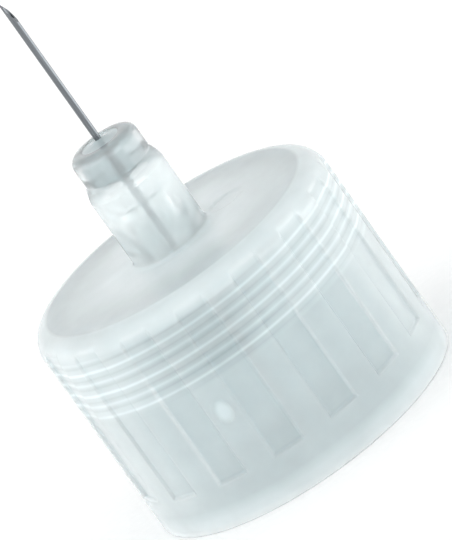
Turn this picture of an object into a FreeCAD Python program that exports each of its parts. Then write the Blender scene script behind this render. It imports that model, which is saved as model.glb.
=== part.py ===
import FreeCAD, Part
import math
import os

from FreeCAD import Matrix, Placement, Rotation, Vector

# Pen needle for an injection pen: a moulded hub, a double-ended cannula and the glue that holds it.
# Lengths are in millimetres and angles in degrees. The rim of the skirt stands on z = 0, +Z runs
# along the cannula, and angles are measured from the front (-Y) towards +X.

# Skirt and disc
skirt_radius = 5.95
body_height = 8.30
disc_thickness = 0.80
corner_radius = 0.80
rim_edge_radius = 0.08

# Bore of the skirt, open at the rim
bore_radius = 4.85
mouth_radius = 5.12
mouth_height = 0.66
inner_corner_radius = 0.25

# Internal pen thread, right-handed, under the disc
thread_root_radius = 4.60
thread_crest_radius = 4.30
thread_pitch = 0.90
thread_length = 2.55
thread_base_width = 0.58
thread_crest_width = 0.20
thread_start_angle = 24.0
thread_runout = 0.30
thread_fade_height = 1.20

# Shallow grip flutes on the outside, open at the top corner
flute_count = 16
flute_depth = 0.11
flute_floor_width = 1.02
flute_wall_slope = 42.0
flute_foot_height = 1.72
flute_first_angle = 15.2

# Tower and nose that carry the cannula
tower_radius = 1.50
tower_height = 2.75
tower_base_fillet = 0.20
shoulder_height = 0.55
shoulder_bulge = 0.03
nose_radius = 1.31
nose_height = 1.10
nose_edge_radius = 0.34

# Glue well in the nose, guide bore below it, and the core that hollows the tower from below
well_radius = 0.74
well_depth = 1.38
funnel_depth = 0.28
guide_length = 0.74
core_radius = 0.86
core_top_radius = 0.72
core_top_fillet = 0.12

# Cannula
cannula_radius = 0.125
cannula_bore_radius = 0.070
exposed_length = 6.00
back_end_height = 1.50
guide_clearance = 0.010
tip_angle = 15.5
tip_side_angle = 23.0
tip_side_turn = 42.0
tip_direction = 60.0
back_angle = 22.0

# Cured glue
glue_drop = 0.02
glue_climb = 0.10
glue_sag = 0.03

# Moulding marks: a round ejector mark on the disc and an oval gate dimple on a land of the skirt
ejector_radius = 0.60
ejector_depth = 0.04
ejector_x = 2.35
ejector_y = 0.35
gate_width = 0.72
gate_length = 1.00
gate_depth = 0.09
gate_height = 3.95
gate_angle = -18.5

# Places that follow from the sizes above
disc_underside = body_height - disc_thickness
shoulder_start = body_height + tower_height
nose_start = shoulder_start + shoulder_height
nose_top = nose_start + nose_height
funnel_top = nose_top - well_depth
guide_top = funnel_top - funnel_depth
core_top = guide_top - guide_length
guide_radius = cannula_radius + guide_clearance
thread_foot = disc_underside - thread_length
tip_height = nose_top + exposed_length

# How far two bodies overlap where they join, and how far a cutting body reaches past what it cuts
overlap = 0.20
beyond = 1.0


def point(radius, height):
    return Vector(radius, 0, height)


def around(radius, angle, height):
    turn = math.radians(angle)
    return Vector(radius * math.sin(turn), -radius * math.cos(turn), height)


def line(start, end):
    return Part.LineSegment(start, end).toShape()


def arc(start, middle, end):
    return Part.Arc(start, middle, end).toShape()


def corner(centre_radius, centre_height, radius, start_angle, end_angle):
    """Arc of a profile, with its angles measured from the outward radius."""
    places = []
    for angle in (start_angle, (start_angle + end_angle) / 2, end_angle):
        turn = math.radians(angle)
        offset = point(radius * math.cos(turn), radius * math.sin(turn))
        places.append(point(centre_radius, centre_height) + offset)
    return arc(*places)


def closed_profile(pieces):
    """Join edges in order with straight lines wherever two neighbours don't meet."""
    edges = []
    for index, piece in enumerate(pieces):
        edges.append(piece)
        end = piece.lastVertex().Point
        start = pieces[(index + 1) % len(pieces)].firstVertex().Point
        if end.distanceToPoint(start) > 1e-7:
            edges.append(line(end, start))
    return Part.Face(Part.Wire(edges))


def turned(face):
    return face.revolve(Vector(0, 0, 0), Vector(0, 0, 1), 360)


def hub_blank():
    """Skirt, disc, tower and nose in one turned solid, before the cores are taken out."""
    shoulder_middle = point((tower_radius + nose_radius) / 2 + shoulder_bulge,
                            shoulder_start + shoulder_height / 2)
    fillet = tower_base_fillet
    pieces = [
        line(point(0, 0), point(skirt_radius - rim_edge_radius, 0)),
        corner(skirt_radius - rim_edge_radius, rim_edge_radius, rim_edge_radius, -90, 0),
        corner(skirt_radius - corner_radius, body_height - corner_radius, corner_radius, 0, 90),
        corner(tower_radius + fillet, body_height + fillet, fillet, 270, 180),
        arc(point(tower_radius, shoulder_start), shoulder_middle, point(nose_radius, nose_start)),
        corner(nose_radius - nose_edge_radius, nose_top - nose_edge_radius, nose_edge_radius, 0, 90),
        line(point(0, nose_top), point(0, 0)),
    ]
    return turned(closed_profile(pieces))


def skirt_core():
    """The space inside the skirt: lead-in at the mouth, tapering bore, plain wall behind the thread."""
    corner_height = disc_underside - inner_corner_radius
    pieces = [
        line(point(0, -beyond), point(mouth_radius, -beyond)),
        line(point(mouth_radius, 0), point(bore_radius, mouth_height)),
        line(point(thread_root_radius, thread_foot), point(thread_root_radius, corner_height)),
        corner(thread_root_radius - inner_corner_radius, corner_height, inner_corner_radius, 0, 90),
        line(point(0, disc_underside), point(0, -beyond)),
    ]
    return turned(closed_profile(pieces))


def tower_core():
    """The tapering core that hollows the tower up to the guide bore."""
    taper = (core_radius - core_top_radius) / (core_top - disc_underside)
    foot_radius = core_radius + taper * overlap
    fillet_height = core_top - core_top_fillet
    pieces = [
        line(point(0, disc_underside - overlap), point(foot_radius, disc_underside - overlap)),
        corner(core_top_radius - core_top_fillet, fillet_height, core_top_fillet, 0, 90),
        line(point(0, core_top), point(0, disc_underside - overlap)),
    ]
    return turned(closed_profile(pieces))


def glue_well(top, inner_radius):
    """Profile edges of the well and its funnel, from the inner radius out and up to the given top."""
    return [
        line(point(inner_radius, guide_top), point(guide_radius, guide_top)),
        line(point(well_radius, funnel_top), point(well_radius, top)),
    ]


def well_core():
    top = nose_top + beyond
    pieces = glue_well(top, 0)
    pieces.append(line(point(0, top), point(0, guide_top)))
    return turned(closed_profile(pieces))


def guide_core():
    length = guide_length + 2 * overlap
    return Part.makeCylinder(guide_radius, length, point(0, core_top - overlap))


def thread_ridge():
    """Right-handed ridge of the pen thread. Its top is buried in the disc and its foot fades out."""
    foot_radius = thread_root_radius + overlap
    flank = (thread_base_width - thread_crest_width) / 2 / (thread_root_radius - thread_crest_radius)
    foot_half = thread_base_width / 2 + flank * overlap
    crest_half = thread_crest_width / 2
    corners = [
        point(foot_radius, -foot_half),
        point(thread_crest_radius, -crest_half),
        point(thread_crest_radius, crest_half),
        point(foot_radius, foot_half),
    ]
    profile = Part.makePolygon(corners + corners[:1])
    helix = Part.makeLongHelix(thread_pitch, thread_length + disc_thickness, thread_root_radius)
    ridge = helix.makePipeShell([profile], True, True)
    ridge.rotate(Vector(0, 0, 0), Vector(0, 0, 1), thread_start_angle - 90)
    ridge.translate(Vector(0, 0, thread_foot + thread_base_width / 2))
    room = Part.makeCylinder(foot_radius + beyond, thread_length + disc_thickness / 2,
                             point(0, thread_foot))
    fade = Part.makeCone(foot_radius, thread_crest_radius - overlap, thread_fade_height,
                         point(0, thread_foot - thread_runout))
    return ridge.common(room).cut(fade)


def flute_tool():
    """One flute, cut from its foot up through the rounded top corner."""
    floor_radius = skirt_radius - flute_depth
    reach = beyond + flute_depth
    half_floor = math.degrees(flute_floor_width / 2 / floor_radius)
    half_mouth_width = flute_floor_width / 2 + reach * math.tan(math.radians(flute_wall_slope))
    outer = floor_radius + reach
    left = around(floor_radius, -half_floor, 0)
    right = around(floor_radius, half_floor, 0)
    outline = Part.Wire([
        arc(left, around(floor_radius, 0, 0), right),
        line(right, Vector(half_mouth_width, -outer, 0)),
        line(Vector(half_mouth_width, -outer, 0), Vector(-half_mouth_width, -outer, 0)),
        line(Vector(-half_mouth_width, -outer, 0), left),
    ])
    tool = Part.Face(outline).extrude(Vector(0, 0, body_height - flute_foot_height + beyond))
    tool.translate(Vector(0, 0, flute_foot_height))
    return tool


def flutes():
    tools = []
    for index in range(flute_count):
        tool = flute_tool()
        tool.rotate(Vector(0, 0, 0), Vector(0, 0, 1), flute_first_angle + index * 360 / flute_count)
        tools.append(tool)
    return tools


def ejector_mark():
    return Part.makeCylinder(ejector_radius, ejector_depth + beyond,
                             Vector(ejector_x, ejector_y, body_height - ejector_depth))


def gate_dimple():
    """Shallow oval hollow: a ball drawn out to the dimple's width, length and depth."""
    dimple = Part.makeSphere(1.0)
    stretch = Matrix()
    stretch.scale(gate_width / 2, gate_depth, gate_length / 2)
    dimple = dimple.transformGeometry(stretch)
    centre = around(skirt_radius, gate_angle, gate_height)
    dimple.Placement = Placement(centre, Rotation(Vector(0, 0, 1), gate_angle))
    return dimple


def make_hub():
    cores = [skirt_core(), tower_core(), well_core(), guide_core()]
    hub = hub_blank().cut(cores)
    hub = hub.fuse(thread_ridge())
    hub = hub.cut(flutes() + [ejector_mark(), gate_dimple()])
    return hub.removeSplitter()


def bevel_tool(tip_point, slope, turn):
    """Block whose face passes through the tip point, sloping from it and facing the turn direction."""
    size = exposed_length
    block = Part.makeBox(size, size, size, Vector(-size / 2, -size / 2, 0))
    block.rotate(Vector(0, 0, 0), Vector(1, 0, 0), 90 - slope)
    block.rotate(Vector(0, 0, 0), Vector(0, 0, 1), turn)
    block.translate(tip_point)
    return block


def make_cannula():
    """Tube with a lancet point of three ground faces at the front and one short bevel at the back."""
    length = tip_height - back_end_height
    tube = Part.makeCylinder(cannula_radius, length, point(0, back_end_height))
    tube = tube.cut(Part.makeCylinder(cannula_bore_radius, length, point(0, back_end_height)))
    tip = around(cannula_radius, tip_direction + 180, tip_height)
    tools = [bevel_tool(tip, tip_angle, tip_direction)]
    for side in (-1, 1):
        tools.append(bevel_tool(tip, tip_side_angle, tip_direction + side * tip_side_turn))
    back_tip = around(cannula_radius, tip_direction, back_end_height)
    back_tool = bevel_tool(Vector(0, 0, 0), back_angle, tip_direction + 180)
    back_tool.rotate(Vector(0, 0, 0), around(1, tip_direction + 90, 0), 180)
    back_tool.translate(back_tip)
    return tube.cut(tools + [back_tool])


def make_adhesive():
    """Cured glue that fills the well and climbs a little up the cannula."""
    edge = point(well_radius, nose_top - glue_drop)
    collar = point(cannula_radius, nose_top + glue_climb)
    middle = point((well_radius + cannula_radius) / 2, (edge.z + collar.z) / 2 - glue_sag)
    pieces = glue_well(edge.z, cannula_radius)
    pieces.append(arc(edge, middle, collar))
    pieces.append(line(collar, point(cannula_radius, guide_top)))
    return turned(closed_profile(pieces))


def main():
    os.makedirs("parts", exist_ok=True)
    nodes = {"hub": make_hub(), "cannula": make_cannula(), "adhesive": make_adhesive()}
    for name, shape in nodes.items():
        shape.exportStep(f"parts/{name}.step")
        print(name, shape.isValid(), len(shape.Solids), "solids", round(shape.Volume, 4), "mm3")


main()
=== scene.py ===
import math

import bpy
from mathutils import Matrix, Vector


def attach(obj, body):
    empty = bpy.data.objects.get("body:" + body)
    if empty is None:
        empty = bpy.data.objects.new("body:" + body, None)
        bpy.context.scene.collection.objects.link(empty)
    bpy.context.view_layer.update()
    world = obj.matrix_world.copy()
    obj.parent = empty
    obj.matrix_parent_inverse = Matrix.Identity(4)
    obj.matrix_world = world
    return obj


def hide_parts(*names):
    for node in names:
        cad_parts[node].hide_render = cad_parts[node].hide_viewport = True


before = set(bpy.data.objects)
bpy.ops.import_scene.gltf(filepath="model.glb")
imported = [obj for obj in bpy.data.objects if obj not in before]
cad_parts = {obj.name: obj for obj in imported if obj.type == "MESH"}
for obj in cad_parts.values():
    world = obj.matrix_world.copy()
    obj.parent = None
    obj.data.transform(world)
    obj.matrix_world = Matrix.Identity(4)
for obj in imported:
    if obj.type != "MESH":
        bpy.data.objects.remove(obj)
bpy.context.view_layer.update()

mm = 0.001


def hexToLinear(code):
    # sRGB hex to the linear values that the nodes take
    parts = [int(code[i:i + 2], 16) / 255 for i in (1, 3, 5)]
    linear = [p / 12.92 if p <= 0.04045 else ((p + 0.055) / 1.055) ** 2.4 for p in parts]
    return (*linear, 1.0)


def addNode(tree, kind, settings=None, inputs=None):
    # settings are the node's own options, inputs are socket values or (node, output) links
    node = tree.nodes.new(kind)
    for name, value in (settings or {}).items():
        setattr(node, name, value)
    for name, value in (inputs or {}).items():
        socket = node.inputs[name]
        if isinstance(value, tuple) and isinstance(value[0], bpy.types.Node):
            tree.links.new(value[0].outputs[value[1]], socket)
        else:
            socket.default_value = value
    return node


def noiseInputs(place, perMm, detail=2.0):
    # what a noise with this many clouds to the millimetre takes
    return {"Vector": (place, 0), "Scale": perMm, "Detail": detail, "Roughness": 0.55}


def wanderInputs(noise, middle, spread):
    # what a value takes that wanders about its middle, as the noise does between its usual limits
    return {
        "Value": (noise, "Fac"), "From Min": 0.25, "From Max": 0.75,
        "To Min": middle - spread, "To Max": middle + spread,
    }


def inMillimetres(tree, stretch=(1.0, 1.0, 1.0)):
    # the object's own coordinates in millimetres, squeezed along an axis for streaks
    place = addNode(tree, "ShaderNodeTexCoord")
    return addNode(tree, "ShaderNodeVectorMath", {"operation": "MULTIPLY"}, {
        0: (place, "Object"), 1: tuple(s / mm for s in stretch),
    })


def newMaterial(name):
    material = bpy.data.materials.new(name)
    material.use_nodes = True
    material.node_tree.nodes.clear()
    return material, material.node_tree


def putOn(piece, material):
    piece.data.materials.clear()
    piece.data.materials.append(material)


def smoothStep(value):
    value = min(max(value, 0.0), 1.0)
    return value * value * (3 - 2 * value)


def towards(value, other, share):
    return value + (other - value) * share


# millimetres and degrees, with angles from the front (-Y) towards +X
hub = {
    "skirtRadius": 5.95,
    "bodyHeight": 8.30,
    "rimInside": 5.12,
    "towerRadius": 1.50,
    "noseRadius": 1.31,
    "noseHeight": 12.70,
    "wellRadius": 0.722,  # just inside the adhesive's faceted mesh, so that the two don't cross
    "wellFoot": 11.335,
    "guideRadius": 0.135,
    "guideTop": 11.055,
    "guideFoot": 10.30,
    "coreTopRadius": 0.72,
    "coreFootRadius": 0.86,
    "ceiling": 7.50,
    "boreRadius": 4.60,
    # corners like those in hubCorners
    "shoulder": [
        (1.50, 11.05, 0.08, 0), (1.473, 11.19, 0.10, 0), (1.432, 11.33, 0.10, 0),
        (1.378, 11.47, 0.10, 0), (1.31, 11.60, 0.10, 1),
    ],
    "mouth": (4.85, 0.66, 0.10, 1),
    # rows that the outer wall needs for its flutes, its gate mark and its thread's band
    "wallRows": [0.3, 0.5, 0.7, 0.9, 1.2, 1.5] + [1.56 + 0.03 * i for i in range(12)]
    + [2.3, 2.6, 2.75, 2.9, 3.1] + [3.40 + 0.07 * i for i in range(17)]
    + [4.9, 5.0, 5.1, 5.25, 5.4, 5.5, 6.0, 6.8, 7.2, 7.3, 7.4],
    "arcPoints": 3,
    "arcPointsPerMm": 9,
    "fluteCount": 16,
    "fluteFirst": 15.2,
    "fluteDepth": 0.11,
    "fluteFloor": 1.02,
    "fluteWall": 0.122,
    "fluteFoot": 1.72,
    # columns on both sides of a flute's middle, crowded at its walls
    "fluteColumns": [0, 2.8, 4.6, 5.0, 5.3, 5.6, 5.9, 6.25, 6.6, 8.8],
    "highlightMiddle": 0.5,  # a flute's painted highlight is halfway up its wall, a line of milk along it
    "highlightReach": 0.7,
    "threadHeight": 0.30,
    "threadBase": 0.58,
    "threadCrest": 0.20,
    "threadPitch": 0.90,
    "threadStart": 24.0,
    "threadLow": 4.95,
    "flankReach": 0.13,
    "flankFade": 0.10,
    "gateAngle": -18.5,
    "gateHeight": 3.95,
    "gateWidth": 0.72,
    "gateLength": 1.00,
    "gateDepth": 0.09,
    "gateFade": 0.9,
    "gateColumns": [0.5 * k for k in range(-8, 9)],
    "markPlace": (2.35, 0.35),
    "markRadius": 0.60,
    "markDepth": 0.04,
    "markEdge": 0.06,
    "markFrom": 1.7,
    "markTo": 4.0,
    # the skirt is clearest here and opposite and painted lighter towards the sides between, and the thread's
    # band is clearest at the second angle, a painted shade, and painted lighter away from it
    "clearSide": 6.0,
    "paintedShadeAngle": -9.0,
    # radii and heights between the zones of milk and roughness
    "limits": {
        "skirt": 5.2,
        "rim": 5.1,
        "thread": 4.5,
        "core": 0.9,
        "tower": 0.75,
        "well": 0.74,
        "underside": 0.02,
        "rimTop": 0.1,
        "threadLow": 4.9,
        "ceiling": 7.4,
        "disc": 8.29,
        "guideFoot": 10.29,
        "wellFoot": 11.33,
    },
    # where a zone begins to change into the next and how far the change goes, down or inwards if less than 0
    "fades": {
        "rim": (0.95, -0.5),
        "fluteLow": (3.1, -0.5),
        "thread": (4.99, 0.52),
        "bandLow": (5.0, 0.5),
        "corner": (7.4, 0.5),
        "threadTop": (7.65, -0.20),
        "fluteTop": (7.7, -0.5),
        "bandTop": (7.8, -0.4),
        "discEdge": (7.9, 0.4),
        "towerFoot": (8.32, 0.15),
        "towerMiddle": (10.1, 0.4),
        "nose": (11.0, 0.6),
        "noseEdge": (12.45, 0.2),
        "discPaintedLight": (5.2, -3.2),  # radii
        "bandPaintedLight": (0.0, 40.0),  # degrees
    },
    # how milky each zone is, some zones painting highlight or shade: 0 is clear and 1 is white
    "milk": {
        "skirt": 0.405,
        "paintedSideLight": 0.125,
        "bandPaintedShade": -0.07,
        "bandPaintedLight": 0.14,
        "fluteEdgeHighlight": 0.42,
        "fluteLow": 0.395,
        "fluteFoot": 0.375,
        "rim": 0.52,
        "corner": 0.58,
        "disc": 0.42,
        "discPaintedLight": 0.80,
        "tower": 0.46,
        "towerLow": 0.40,
        "nose": 0.25,
        "noseEdge": 0.50,
        "gate": 0.60,
        "well": 0.05,
        "guide": 0.30,
        "core": 0.04,
        "ceiling": 0.66,
        "bore": 0.22,
        # the thread's flanks are painted milky as highlight lines
        "threadTop": 0.80,
        "threadFoot": 0.60,
        "threadCrest": 0.20,
    },
    # how rough each zone is: the disc and the bore are the most matt, the tower and the core the glossiest
    "rough": {
        "skirt": 0.15,
        "disc": 0.235,
        "tower": 0.08,
        "core": 0.05,
        "bore": 0.22,
    },
    "milky": "#e1ebed",
    "clear": "#f3f7f7",
    "depths": "#96b0b6",
    "ior": 1.49,
    "scatterDepth": 1.5,
    "cloudsPerMm": 0.55,
    "cloudStrength": 0.07,
    "grainPerMm": 7.0,  # the real grain is finer, and this is coarse enough to show
    "grainStrength": 0.03,
    "grainHeight": 0.0006,
    "wavesPerMm": 0.9,
    "waveHeight": 0.006,
    "paintedLinesLean": 0.294,  # how much lower the painted thread lines are drawn for each millimetre nearer the axis
    "paintedLinesOutside": 5.4,  # the thread's painted highlight and shade lines are drawn on the skin outside this radius
    # painted highlight lines (more milk) and painted shade lines (less milk) over one pitch of the thread,
    # from the middle of the ridge upwards
    "paintedThreadLines": [
        (0.00, -0.09), (0.045, -0.14), (0.12, -0.06), (0.23, -0.03), (0.322, 0.20), (0.42, -0.03),
        (0.56, -0.06), (0.633, -0.14), (0.73, -0.06), (0.844, 0.10), (0.94, -0.06),
    ],
}


def hubCorners():
    # corners of the turned section: radius, height, rounding, and the stops on the way to the next one
    return [
        (hub["rimInside"], 0.00, 0.03, 2),
        (hub["skirtRadius"], 0.00, 0.06, hub["wallRows"]),
        (hub["skirtRadius"], hub["bodyHeight"], 0.80, 24),
        (hub["towerRadius"], hub["bodyHeight"], 0.20, 4),
        *hub["shoulder"],
        (hub["noseRadius"], hub["noseHeight"], 0.34, 1),
        (hub["wellRadius"], hub["noseHeight"], 0.03, 3),
        (hub["wellRadius"], hub["wellFoot"], 0.05, 4),
        (hub["guideRadius"], hub["guideTop"], 0.03, 2),
        (hub["guideRadius"], hub["guideFoot"], 0.02, 3),
        (hub["coreTopRadius"], hub["guideFoot"], 0.12, 5),
        (hub["coreFootRadius"], hub["ceiling"], 0.05, 8),
        (hub["boreRadius"], hub["ceiling"], 0.25, 54),
        (hub["boreRadius"], hub["threadLow"], 0.20, 5),
        hub["mouth"],
    ]


def roundedSection(corners):
    # every corner turns into an arc, with more points the larger it is
    section = []
    for i, (radius, height, rounding, stops) in enumerate(corners):
        here = Vector((radius, height))
        before = (Vector(corners[i - 1][:2]) - here).normalized()
        after = (Vector(corners[(i + 1) % len(corners)][:2]) - here).normalized()
        half = before.angle(after) / 2
        centre = here + (before + after).normalized() * rounding / math.sin(half)
        start = here + before * rounding / math.tan(half) - centre
        finish = here + after * rounding / math.tan(half) - centre
        count = hub["arcPoints"] + round(rounding * hub["arcPointsPerMm"])
        arc = [centre + start.slerp(finish, k / (count - 1)) * rounding for k in range(count)]
        section.append((arc, stops))
    points = []
    for i, (arc, stops) in enumerate(section):
        points += arc
        following = section[(i + 1) % len(section)][0][0]
        if isinstance(stops, list):
            points += [Vector((arc[-1].x, z)) for z in stops]
        else:
            points += [arc[-1].lerp(following, (k + 1) / (stops + 1)) for k in range(stops)]
    return points


def fade(name, value):
    start, length = hub["fades"][name]
    return smoothStep((value - start) / length)


def fluteWall(angle, height):
    # how far up a flute's side wall and foot wall a place is: 0 is the floor and 1 is the land
    pitch = 360 / hub["fluteCount"]
    off = (angle - hub["fluteFirst"] + pitch / 2) % pitch - pitch / 2
    floorRadius = hub["skirtRadius"] - hub["fluteDepth"]
    across = math.radians(abs(off)) * floorRadius - hub["fluteFloor"] / 2
    below = hub["fluteFoot"] - height
    return across / hub["fluteWall"], below / hub["fluteWall"]


def threadPlace(angle, height):
    # distance above the middle of the nearest turn of the ridge
    rise = hub["threadPitch"] * (angle - hub["threadStart"]) / 360
    first = hub["threadLow"] + hub["threadBase"] / 2 + rise
    turn = max(round((height - first) / hub["threadPitch"]), 0 if rise >= 0 else 1)
    return height - first - turn * hub["threadPitch"]


def skirtSide(radius, height, angle):
    # the skirt's outside with its flutes and its gate mark
    milks = hub["milk"]
    across, below = fluteWall(angle, height)
    floor = 1 - smoothStep(max(across, below))
    side = math.radians(angle - hub["gateAngle"]) * hub["skirtRadius"] / (hub["gateWidth"] / 2)
    along = (height - hub["gateHeight"]) / (hub["gateLength"] / 2)
    gate = 1 - side * side - along * along
    foot = smoothStep(1 - abs(below)) * smoothStep(1 - across)
    # painted highlight: a line of milk along each flute's walls
    edge = smoothStep(1 - abs(across - hub["highlightMiddle"]) / hub["highlightReach"]) * smoothStep(-below)
    milk = towards(milks["skirt"], milks["fluteLow"], floor * fade("fluteLow", height))
    milk = towards(milk, milks["fluteFoot"], foot)
    milk = towards(milk, milks["fluteEdgeHighlight"], edge * fade("fluteTop", height))
    milk = towards(milk, milks["gate"], smoothStep(gate / hub["gateFade"]))
    milk = towards(milk, milks["rim"], fade("rim", height))
    # painted light: the skirt grows milkier towards its left and right sides
    milk += milks["paintedSideLight"] * math.sin(math.radians(angle - hub["clearSide"])) ** 2
    # painted shade in the thread's band at one angle, painted light towards its sides
    aside = fade("bandPaintedLight", abs(angle - hub["paintedShadeAngle"]))
    band = fade("bandLow", height) * fade("bandTop", height)
    milk += towards(milks["bandPaintedShade"], milks["bandPaintedLight"], aside) * band
    milk = towards(milk, milks["corner"], fade("corner", height))
    hollow = math.sqrt(max(0.0, gate)) * hub["gateDepth"]
    return min(radius, hub["skirtRadius"] - hub["fluteDepth"] * floor) - hollow, milk


def threadSide(radius, height, angle):
    # the bore's wall with its thread, whose flanks are painted milky as highlight lines
    milks = hub["milk"]
    off = threadPlace(angle, height)
    wall = (hub["threadBase"] - hub["threadCrest"]) / 2
    begun = fade("thread", height)
    ridge = smoothStep((hub["threadBase"] / 2 - abs(off)) / wall) * begun
    milk = towards(milks["bore"], milks["threadCrest"], ridge)
    flank = (hub["threadBase"] + hub["threadCrest"]) / 4
    for place, name in ((flank, "threadTop"), (-flank, "threadFoot")):
        near = smoothStep((hub["flankReach"] - abs(off - place)) / hub["flankFade"])
        milk = towards(milk, milks[name], near * begun)
    return radius - hub["threadHeight"] * ridge, milk


def hubPoint(radius, height, angle):
    # a point of the section at an angle, with its milkiness and painted light, its roughness and whether it
    # is skin
    milks, roughs, limits = hub["milk"], hub["rough"], hub["limits"]
    aboveDisc = height > limits["disc"]
    rough = roughs["skirt"]
    skin = 1.0
    if radius > limits["skirt"] and height > limits["underside"] and not aboveDisc:
        radius, milk = skirtSide(radius, height, angle)
        rough = towards(rough, roughs["disc"], fade("discEdge", height))
    elif radius > limits["rim"] and height < limits["rimTop"]:
        milk = milks["rim"]
    elif aboveDisc and radius > limits["tower"]:  # the wide part of the core's wall too
        rising = fade("towerFoot", height)
        # painted light: the disc grows milky near the tower's foot, where the tower's shade falls
        milk = towards(milks["disc"], milks["discPaintedLight"], fade("discPaintedLight", radius))
        milk = towards(milk, milks["towerLow"], rising)
        milk = towards(milk, milks["tower"], fade("towerMiddle", height))
        milk = towards(milk, milks["nose"], fade("nose", height))
        rough = towards(roughs["disc"], roughs["tower"], rising)
    elif radius < limits["well"] and height > limits["guideFoot"]:
        milk = milks["well"] if height > limits["wellFoot"] else milks["guide"]
        milk = towards(milk, milks["noseEdge"], fade("noseEdge", height))
        rough = roughs["core"]
    elif radius > limits["thread"] and limits["threadLow"] < height < limits["ceiling"]:
        radius, milk = threadSide(radius, height, angle)
        rough = roughs["bore"]
        skin = 0.0
    elif radius < limits["core"]:
        milk = milks["core"]
        rough = roughs["core"]
    else:
        milk = milks["ceiling"] if height > limits["ceiling"] else milks["bore"]
        rough = roughs["bore"]
        skin = 0.0
    turn = math.radians(angle)
    x, y = radius * math.sin(turn), -radius * math.cos(turn)
    if aboveDisc and hub["markFrom"] < radius < hub["markTo"]:
        away = math.hypot(x - hub["markPlace"][0], y - hub["markPlace"][1])
        inside = smoothStep((hub["markRadius"] - away) / hub["markEdge"] + 0.5)
        height -= hub["markDepth"] * inside
    return (x * mm, y * mm, height * mm), milk, rough, skin


def hubAngles():
    # columns crowd at the flutes' walls and at the gate mark
    count = hub["fluteCount"]
    middles = [hub["fluteFirst"] + n * 360 / count for n in range(-count // 2, count // 2)]
    angles = {round(a + s * c, 3) for a in middles for c in hub["fluteColumns"] for s in (-1, 1)}
    angles |= {round(hub["gateAngle"] + c, 3) for c in hub["gateColumns"]}
    return sorted(angles)


def makeHub():
    section = roundedSection(hubCorners())
    angles = hubAngles()
    rows, columns = len(section), len(angles)
    made = [hubPoint(point.x, point.y, angle) for angle in angles for point in section]
    faces = []
    for c in range(columns):
        here, there = c * rows, (c + 1) % columns * rows
        for r in range(rows):
            s = (r + 1) % rows
            faces.append((here + r, there + r, there + s, here + s))
    mesh = bpy.data.meshes.new("moulded_hub")
    mesh.from_pydata([values[0] for values in made], [], faces)
    mesh.shade_smooth()
    for i, name in enumerate(("milkiness", "roughness", "skin"), 1):
        layer = mesh.attributes.new(name, "FLOAT", "POINT")
        layer.data.foreach_set("value", [values[i] for values in made])
    piece = bpy.data.objects.new("moulded_hub", mesh)
    bpy.context.scene.collection.objects.link(piece)
    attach(piece, "root")
    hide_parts("hub")
    print("hub:", rows, "rows by", columns, "columns")
    return piece


def skinMilkWithPaintedLines(tree, place, milk):
    # the milkiness of the skin with the thread's highlight and shade painted on it as lines
    split = addNode(tree, "ShaderNodeSeparateXYZ", inputs={"Vector": (place, 0)})
    front = addNode(tree, "ShaderNodeMath", {"operation": "MULTIPLY"}, {0: (split, "Y"), 1: -1.0})
    turn = addNode(tree, "ShaderNodeMath", {"operation": "ARCTAN2"}, {
        0: (split, "X"), 1: (front, 0),
    })
    ahead = hub["threadPitch"] * hub["threadStart"] / 360
    rise = addNode(tree, "ShaderNodeMath", {"operation": "MULTIPLY_ADD"}, {
        0: (turn, 0), 1: hub["threadPitch"] / math.tau,
        2: hub["threadLow"] + hub["threadBase"] / 2 - ahead,
    })
    across = addNode(tree, "ShaderNodeVectorMath", {"operation": "MULTIPLY"}, {
        0: (place, 0), 1: (1, 1, 0),
    })
    radius = addNode(tree, "ShaderNodeVectorMath", {"operation": "LENGTH"}, {0: (across, 0)})
    inward = addNode(tree, "ShaderNodeMath", {"operation": "SUBTRACT"}, {
        0: hub["skirtRadius"], 1: (radius, "Value"),
    })
    seen = addNode(tree, "ShaderNodeMath", {"operation": "MULTIPLY_ADD"}, {
        0: (inward, 0), 1: hub["paintedLinesLean"], 2: (split, "Z"),
    })
    above = addNode(tree, "ShaderNodeMath", {"operation": "SUBTRACT"}, {0: (seen, 0), 1: (rise, 0)})
    turns = addNode(tree, "ShaderNodeMath", {"operation": "DIVIDE"}, {
        0: (above, 0), 1: hub["threadPitch"],
    })
    pitch = addNode(tree, "ShaderNodeMath", {"operation": "FRACT"}, {0: (turns, 0)})
    # painted highlight and shade lines over one pitch of the thread
    lines = addNode(tree, "ShaderNodeValToRGB", inputs={"Fac": (pitch, 0)})
    ramp = lines.color_ramp
    for i, (stop, value) in enumerate(hub["paintedThreadLines"]):
        element = ramp.elements[i] if i < 2 else ramp.elements.new(stop)
        element.position = stop
        element.color = (0.5 + value, 0.5 + value, 0.5 + value, 1)  # half grey changes nothing
    ramp.elements.new(1.0).color = ramp.elements[0].color
    shares = []
    for name in ("thread", "threadTop"):
        start, length = hub["fades"][name]
        shares.append(addNode(tree, "ShaderNodeMapRange", {"interpolation_type": "SMOOTHSTEP"}, {
            "Value": (split, "Z"), "From Min": start, "From Max": start + length,
        }))
    zone = addNode(tree, "ShaderNodeMath", {"operation": "MULTIPLY"}, {
        0: (shares[0], 0), 1: (shares[1], 0),
    })
    outside = addNode(tree, "ShaderNodeMath", {"operation": "GREATER_THAN"}, {
        0: (radius, "Value"), 1: hub["paintedLinesOutside"],
    })
    share = addNode(tree, "ShaderNodeMath", {"operation": "MULTIPLY"}, {
        0: (zone, 0), 1: (outside, 0),
    })
    more = addNode(tree, "ShaderNodeMath", {"operation": "SUBTRACT"}, {0: (lines, 0), 1: 0.5})
    return addNode(tree, "ShaderNodeMath", {"operation": "MULTIPLY_ADD"}, {
        0: (more, 0), 1: (share, 0), 2: (milk, "Fac"),
    })


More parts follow.
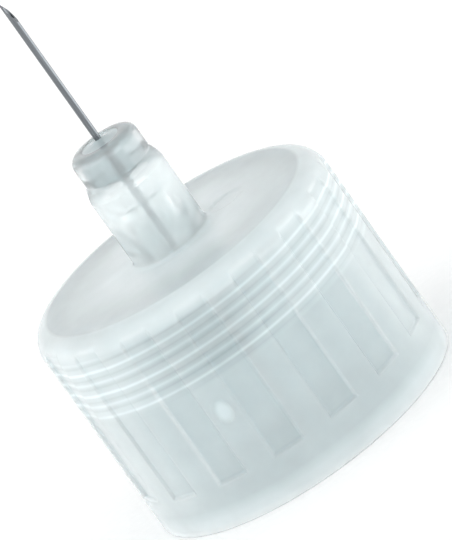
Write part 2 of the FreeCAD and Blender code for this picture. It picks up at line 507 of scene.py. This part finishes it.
def makePolypropylene():
    # natural moulded polypropylene: milky clear, softly glossy, cloudy where it is thick, with painted
    # highlight and shade in its milk
    material, tree = newMaterial("moulded_polypropylene")
    place = inMillimetres(tree)
    clouds = addNode(tree, "ShaderNodeTexNoise", None, noiseInputs(place, hub["cloudsPerMm"], 3.0))
    grain = addNode(tree, "ShaderNodeTexNoise", None, noiseInputs(place, hub["grainPerMm"]))
    waves = addNode(tree, "ShaderNodeTexNoise", None, noiseInputs(place, hub["wavesPerMm"], 1.0))
    milk = addNode(tree, "ShaderNodeAttribute", {"attribute_name": "milkiness"})
    moulded = addNode(tree, "ShaderNodeAttribute", {"attribute_name": "roughness"})
    skin = addNode(tree, "ShaderNodeAttribute", {"attribute_name": "skin"})
    cloudy = addNode(tree, "ShaderNodeMapRange", {"clamp": False},
                     wanderInputs(clouds, 1.0, hub["cloudStrength"]))
    share = addNode(tree, "ShaderNodeMath", {"operation": "MULTIPLY", "use_clamp": True}, {
        0: (skinMilkWithPaintedLines(tree, place, milk), 0), 1: (cloudy, 0),
    })
    worn = addNode(tree, "ShaderNodeMapRange", {"clamp": False},
                   wanderInputs(grain, 0.0, hub["grainStrength"]))
    rough = addNode(tree, "ShaderNodeMath", {"operation": "ADD", "use_clamp": True}, {
        0: (moulded, "Fac"), 1: (worn, 0),
    })
    swell = addNode(tree, "ShaderNodeBump", inputs={
        "Height": (waves, "Fac"), "Distance": hub["waveHeight"] * mm,
    })
    relief = addNode(tree, "ShaderNodeBump", inputs={
        "Height": (grain, "Fac"), "Distance": hub["grainHeight"] * mm, "Normal": (swell, 0),
    })
    tint = addNode(tree, "ShaderNodeMix", {"data_type": "RGBA"}, {
        0: (skin, "Fac"), 6: hexToLinear(hub["depths"]), 7: hexToLinear(hub["clear"]),
    })
    clear = addNode(tree, "ShaderNodeBsdfPrincipled", inputs={
        "Base Color": (tint, 2),
        "Roughness": (rough, 0),
        "Normal": (relief, 0),
        "IOR": hub["ior"],
        "Transmission Weight": 1.0,
    })
    milky = addNode(tree, "ShaderNodeBsdfPrincipled", inputs={
        "Base Color": hexToLinear(hub["milky"]),
        "Roughness": (rough, 0),
        "Normal": (relief, 0),
        "IOR": hub["ior"],
        "Subsurface Weight": (skin, "Fac"),
        "Subsurface Radius": (1.0, 1.0, 1.0),
        "Subsurface Scale": hub["scatterDepth"] * mm,
    })
    mix = addNode(tree, "ShaderNodeMixShader", inputs={0: (share, 0), 1: (clear, 0), 2: (milky, 0)})
    addNode(tree, "ShaderNodeOutputMaterial", inputs={"Surface": (mix, 0)})
    return material


cannula = {
    "dark": "#5f6367",
    "light": "#85898d",
    "roughness": 0.24,
    "roughnessSpread": 0.08,
    "streaksPerMm": 26.0,  # the real drawing marks are finer, and these are wide enough to show
    "streakWidth": 0.02,  # in relation to its length
    "streakHeight": 0.0012,
}


def makeSteel():
    # drawn stainless steel: dark grey with fine streaks of light down the tube
    material, tree = newMaterial("drawn_stainless_steel")
    place = inMillimetres(tree, (1.0, 1.0, cannula["streakWidth"]))
    streaks = addNode(tree, "ShaderNodeTexNoise", None, noiseInputs(place, cannula["streaksPerMm"]))
    shade = addNode(tree, "ShaderNodeMapRange", {"clamp": False}, wanderInputs(streaks, 0.5, 0.5))
    colour = addNode(tree, "ShaderNodeMix", {"data_type": "RGBA"}, {
        0: (shade, 0), 6: hexToLinear(cannula["dark"]), 7: hexToLinear(cannula["light"]),
    })
    rough = addNode(tree, "ShaderNodeMapRange", {"clamp": False},
                    wanderInputs(streaks, cannula["roughness"], cannula["roughnessSpread"]))
    relief = addNode(tree, "ShaderNodeBump", inputs={
        "Height": (streaks, "Fac"), "Distance": cannula["streakHeight"] * mm,
    })
    steel = addNode(tree, "ShaderNodeBsdfPrincipled", inputs={
        "Base Color": (colour, 2),
        "Metallic": 1.0,
        "Roughness": (rough, 0),
        "Normal": (relief, 0),
    })
    addNode(tree, "ShaderNodeOutputMaterial", inputs={"Surface": (steel, 0)})
    return material


adhesive = {
    "clear": "#d0e0e4",
    "cloudy": "#c8d6d9",
    "ior": 1.49,
    "roughness": 0.14,
    "roughnessSpread": 0.04,
    "milk": 0.22,
    "milkSpread": 0.08,
    "topMilk": 0.55,
    "topFrom": 12.62,
    "topTo": 12.67,
    "cloudsPerMm": 2.2,
    "rippleHeight": 0.003,
}


def makeResin():
    # cured adhesive: clear resin, faintly cloudy, with a soft uneven top
    material, tree = newMaterial("cured_adhesive")
    place = inMillimetres(tree)
    clouds = addNode(tree, "ShaderNodeTexNoise", None,
                     noiseInputs(place, adhesive["cloudsPerMm"], 3.0))
    rough = addNode(tree, "ShaderNodeMapRange", {"clamp": False},
                    wanderInputs(clouds, adhesive["roughness"], adhesive["roughnessSpread"]))
    relief = addNode(tree, "ShaderNodeBump", inputs={
        "Height": (clouds, "Fac"), "Distance": adhesive["rippleHeight"] * mm,
    })
    clear = addNode(tree, "ShaderNodeBsdfPrincipled", inputs={
        "Base Color": hexToLinear(adhesive["clear"]),
        "Roughness": (rough, 0),
        "Normal": (relief, 0),
        "IOR": adhesive["ior"],
        "Transmission Weight": 1.0,
    })
    cloudy = addNode(tree, "ShaderNodeBsdfPrincipled", inputs={
        "Base Color": hexToLinear(adhesive["cloudy"]),
        "Roughness": (rough, 0),
        "Normal": (relief, 0),
        "IOR": adhesive["ior"],
    })
    milk = addNode(tree, "ShaderNodeMapRange", {"clamp": False},
                   wanderInputs(clouds, adhesive["milk"], adhesive["milkSpread"]))
    split = addNode(tree, "ShaderNodeSeparateXYZ", inputs={"Vector": (place, 0)})
    top = addNode(tree, "ShaderNodeMapRange", inputs={
        "Value": (split, "Z"), "From Min": adhesive["topFrom"], "From Max": adhesive["topTo"],
    })
    share = addNode(tree, "ShaderNodeMix", inputs={
        "Factor": (top, 0), 2: (milk, 0), 3: adhesive["topMilk"],
    })
    mix = addNode(tree, "ShaderNodeMixShader", inputs={
        0: (share, 0), 1: (clear, 0), 2: (cloudy, 0),
    })
    addNode(tree, "ShaderNodeOutputMaterial", inputs={"Surface": (mix, 0)})
    return material


putOn(makeHub(), makePolypropylene())
putOn(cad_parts["cannula"], makeSteel())
putOn(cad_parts["adhesive"], makeResin())
print("materials on the hub, the cannula and the adhesive")

# the size is in millimetres
paper = {
    "size": 600,
    "light": "#fcfcfc",
    "shade": "#f8f9f9",
    "roughness": 0.88,
    "roughnessSpread": 0.06,
    "fibresPerMm": 2.5,  # real fibres are finer, and these are coarse enough to show
    "fibreHeight": 0.012,
}


def makeFloor():
    # matt white paper: no gloss, with faint fibres
    half = paper["size"] * mm / 2
    corners = [(-half, -half, 0), (half, -half, 0), (half, half, 0), (-half, half, 0)]
    mesh = bpy.data.meshes.new("floor")
    mesh.from_pydata(corners, [], [(0, 1, 2, 3)])
    floor = bpy.data.objects.new("floor", mesh)
    bpy.context.scene.collection.objects.link(floor)
    material, tree = newMaterial("matt_paper")
    place = inMillimetres(tree)
    fibres = addNode(tree, "ShaderNodeTexNoise", None, noiseInputs(place, paper["fibresPerMm"], 4.0))
    shade = addNode(tree, "ShaderNodeMapRange", {"clamp": False}, wanderInputs(fibres, 0.5, 0.5))
    colour = addNode(tree, "ShaderNodeMix", {"data_type": "RGBA"}, {
        0: (shade, 0), 6: hexToLinear(paper["shade"]), 7: hexToLinear(paper["light"]),
    })
    rough = addNode(tree, "ShaderNodeMapRange", {"clamp": False},
                    wanderInputs(fibres, paper["roughness"], paper["roughnessSpread"]))
    relief = addNode(tree, "ShaderNodeBump", inputs={
        "Height": (fibres, "Fac"), "Distance": paper["fibreHeight"] * mm,
    })
    surface = addNode(tree, "ShaderNodeBsdfPrincipled", inputs={
        "Base Color": (colour, 2), "Roughness": (rough, 0), "Normal": (relief, 0),
    })
    addNode(tree, "ShaderNodeOutputMaterial", inputs={"Surface": (surface, 0)})
    putOn(floor, material)


# brightness by direction: front is behind the camera
room = {
    "front": 1.50,
    "back": 1.14,
    "frontToBack": (-0.9, 0.5),
    # axis, where the wall or the ceiling begins, where it is full, and its brightness
    "sides": [
        ("X", -0.35, -0.95, 2.15),
        ("X", 0.35, 0.95, 1.25),
        ("Z", 0.3, 1.0, 0.80),
    ],
}


def makeWorld():
    # white room, brightest at the left and dimmest overhead
    world = bpy.data.worlds.new("studio")
    bpy.context.scene.world = world
    world.use_nodes = True
    tree = world.node_tree
    tree.nodes.clear()
    place = addNode(tree, "ShaderNodeTexCoord")
    split = addNode(tree, "ShaderNodeSeparateXYZ", inputs={"Vector": (place, "Generated")})
    start, finish = room["frontToBack"]
    level = addNode(tree, "ShaderNodeMapRange", {"interpolation_type": "SMOOTHSTEP"}, {
        "Value": (split, "Y"), "From Min": start, "From Max": finish,
        "To Min": room["front"], "To Max": room["back"],
    })
    for axis, start, finish, brightness in room["sides"]:
        share = addNode(tree, "ShaderNodeMapRange", {"interpolation_type": "SMOOTHSTEP"}, {
            "Value": (split, axis), "From Min": start, "From Max": finish,
        })
        level = addNode(tree, "ShaderNodeMix", inputs={
            "Factor": (share, 0), 2: (level, 0), 3: brightness,
        })
    light = addNode(tree, "ShaderNodeBackground", inputs={
        "Color": (1, 1, 1, 1), "Strength": (level, 0),
    })
    addNode(tree, "ShaderNodeOutputWorld", inputs={"Surface": (light, 0)})


# metres and watts: a soft key at the upper left, a fill low in front and a small card low at the right
lamps = {
    "key": {"place": (-0.12, -0.05, 0.20), "size": (0.14, 0.14), "power": 0.03},
    "fill": {"place": (0.10, -0.22, 0.03), "size": (0.20, 0.05), "power": 0.08},
    "card": {"place": (0.045, -0.008, 0.004), "size": (0.06, 0.008), "power": 0.0045},
}
lampAim = (0, 0, 0.007)


def makeLamps():
    for name, lamp in lamps.items():
        data = bpy.data.lights.new(name, "AREA")
        data.shape = "RECTANGLE"
        data.size, data.size_y = lamp["size"]
        data.energy = lamp["power"]
        holder = bpy.data.objects.new(name, data)
        holder.location = lamp["place"]
        facing = (Vector(lampAim) - holder.location).to_track_quat("-Z", "Y")
        holder.rotation_euler = facing.to_euler()
        bpy.context.scene.collection.objects.link(holder)


# degrees, millimetres for the aim and the sensor, metres for the distances
view = {
    "elevation": 16.4,
    "roll": 35.4,
    "distance": 0.310,
    "pixelsPerMm": 29.05,
    "frameHeight": 540,
    "aimRight": 0.969,
    "aimHeight": 6.34,
    "sensorHeight": 24,
    "nearest": 0.01,
    "farthest": 10,
}


def makeCamera():
    rise = math.radians(view["elevation"])
    roll = math.radians(view["roll"])
    away = Vector((0, math.cos(rise), -math.sin(rise)))
    right = Vector((1, 0, 0))
    up = right.cross(away)
    rolledUp = up * math.cos(roll) + right * math.sin(roll)
    rolledRight = right * math.cos(roll) - up * math.sin(roll)
    aim = Vector((view["aimRight"] * mm, 0, view["aimHeight"] * mm))
    data = bpy.data.cameras.new("camera")
    data.sensor_fit = "VERTICAL"
    data.sensor_height = view["sensorHeight"]
    frameMm = view["frameHeight"] / view["pixelsPerMm"]
    data.lens = data.sensor_height * view["distance"] / (frameMm * mm)
    data.clip_start = view["nearest"]
    data.clip_end = view["farthest"]
    camera = bpy.data.objects.new("camera", data)
    bpy.context.scene.collection.objects.link(camera)
    place = aim - away * view["distance"]
    facing = Matrix((rolledRight, rolledUp, -away)).transposed()
    camera.matrix_world = Matrix.Translation(place) @ facing.to_4x4()
    bpy.context.scene.camera = camera


makeFloor()
makeWorld()
makeLamps()
makeCamera()
bpy.context.scene.view_settings.view_transform = "Standard"
print("floor, light and camera")
